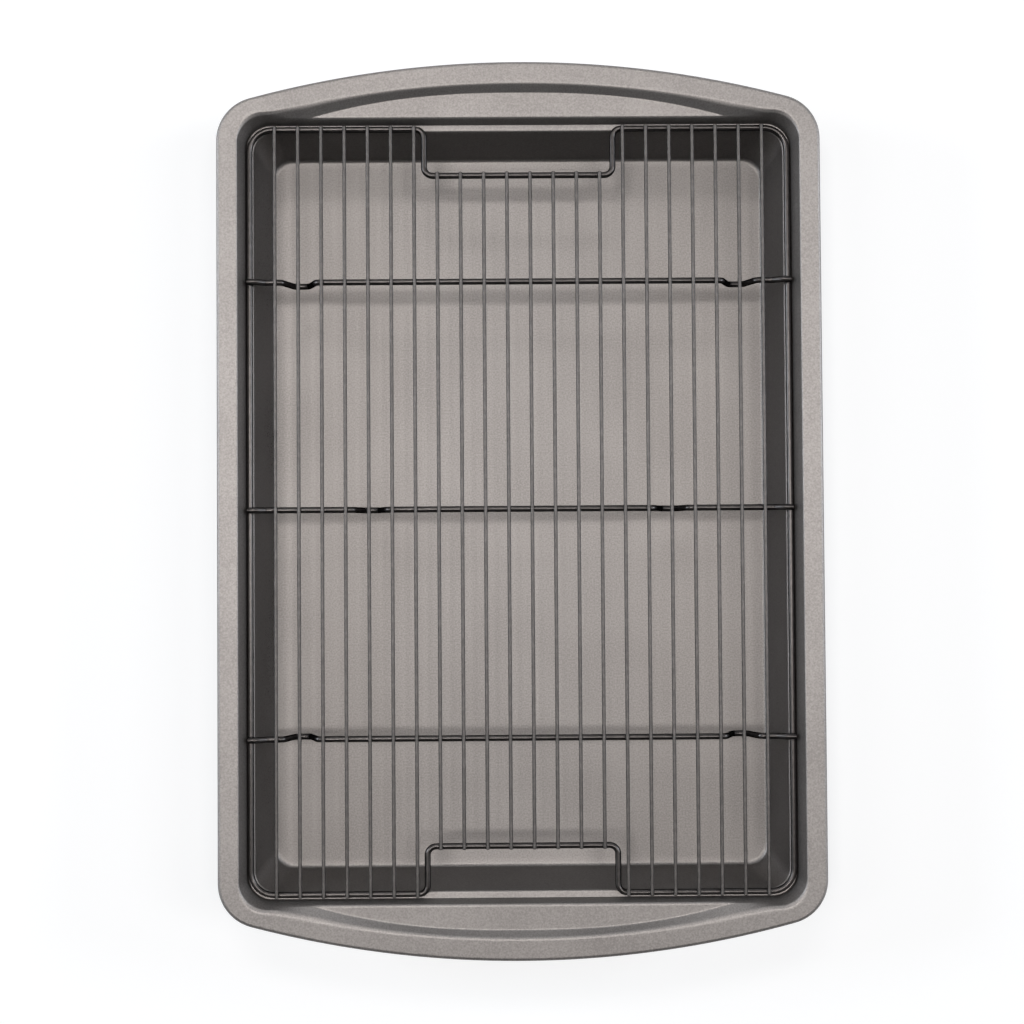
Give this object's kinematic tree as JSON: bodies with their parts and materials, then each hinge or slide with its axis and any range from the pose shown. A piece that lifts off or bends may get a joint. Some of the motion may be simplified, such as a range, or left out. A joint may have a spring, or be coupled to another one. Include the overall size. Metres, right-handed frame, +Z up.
{
  "type": "baking pan with rack",
  "caption": "Rectangular nonstick steel baking pan with arched rim handles and a lift-out wire rack that rests on a ledge round the inside of its wall.",
  "frame": {"origin": "middle of the underside of the pan's base, on the surface that the pan stands on", "axes": "+X across the pan, +Y along it towards one arched handle, +Z up, the way the rack lifts out"},
  "size_m": [0.2866, 0.4246, 0.0508],
  "materials": {
    "pan_coat": "satin metallic grey nonstick coat on steel sheet",
    "rack_coat": "semi-gloss black nonstick coat on steel wire"
  },
  "bodies": {
    "pan": {"pan": "pan_coat"},
    "rack": {"rack_frame": "rack_coat", "cross_bar_back": "rack_coat", "cross_bar_middle": "rack_coat", "cross_bar_front": "rack_coat", "rod_01": "rack_coat", "rod_02": "rack_coat", "rod_03": "rack_coat", "rod_04": "rack_coat", "rod_05": "rack_coat", "rod_06": "rack_coat", "rod_07": "rack_coat", "rod_08": "rack_coat", "rod_09": "rack_coat", "rod_10": "rack_coat", "rod_11": "rack_coat", "rod_12": "rack_coat", "rod_13": "rack_coat", "rod_14": "rack_coat", "rod_15": "rack_coat", "rod_16": "rack_coat", "rod_17": "rack_coat", "rod_18": "rack_coat", "rod_19": "rack_coat", "rod_20": "rack_coat", "rod_21": "rack_coat", "rod_22": "rack_coat"}
  },
  "joints": [
    {"name": "rack_lift", "type": "slide", "parent": "pan", "child": "rack", "axis": [0, 0, 1], "range_m": [0, 0.08]}
  ]
}
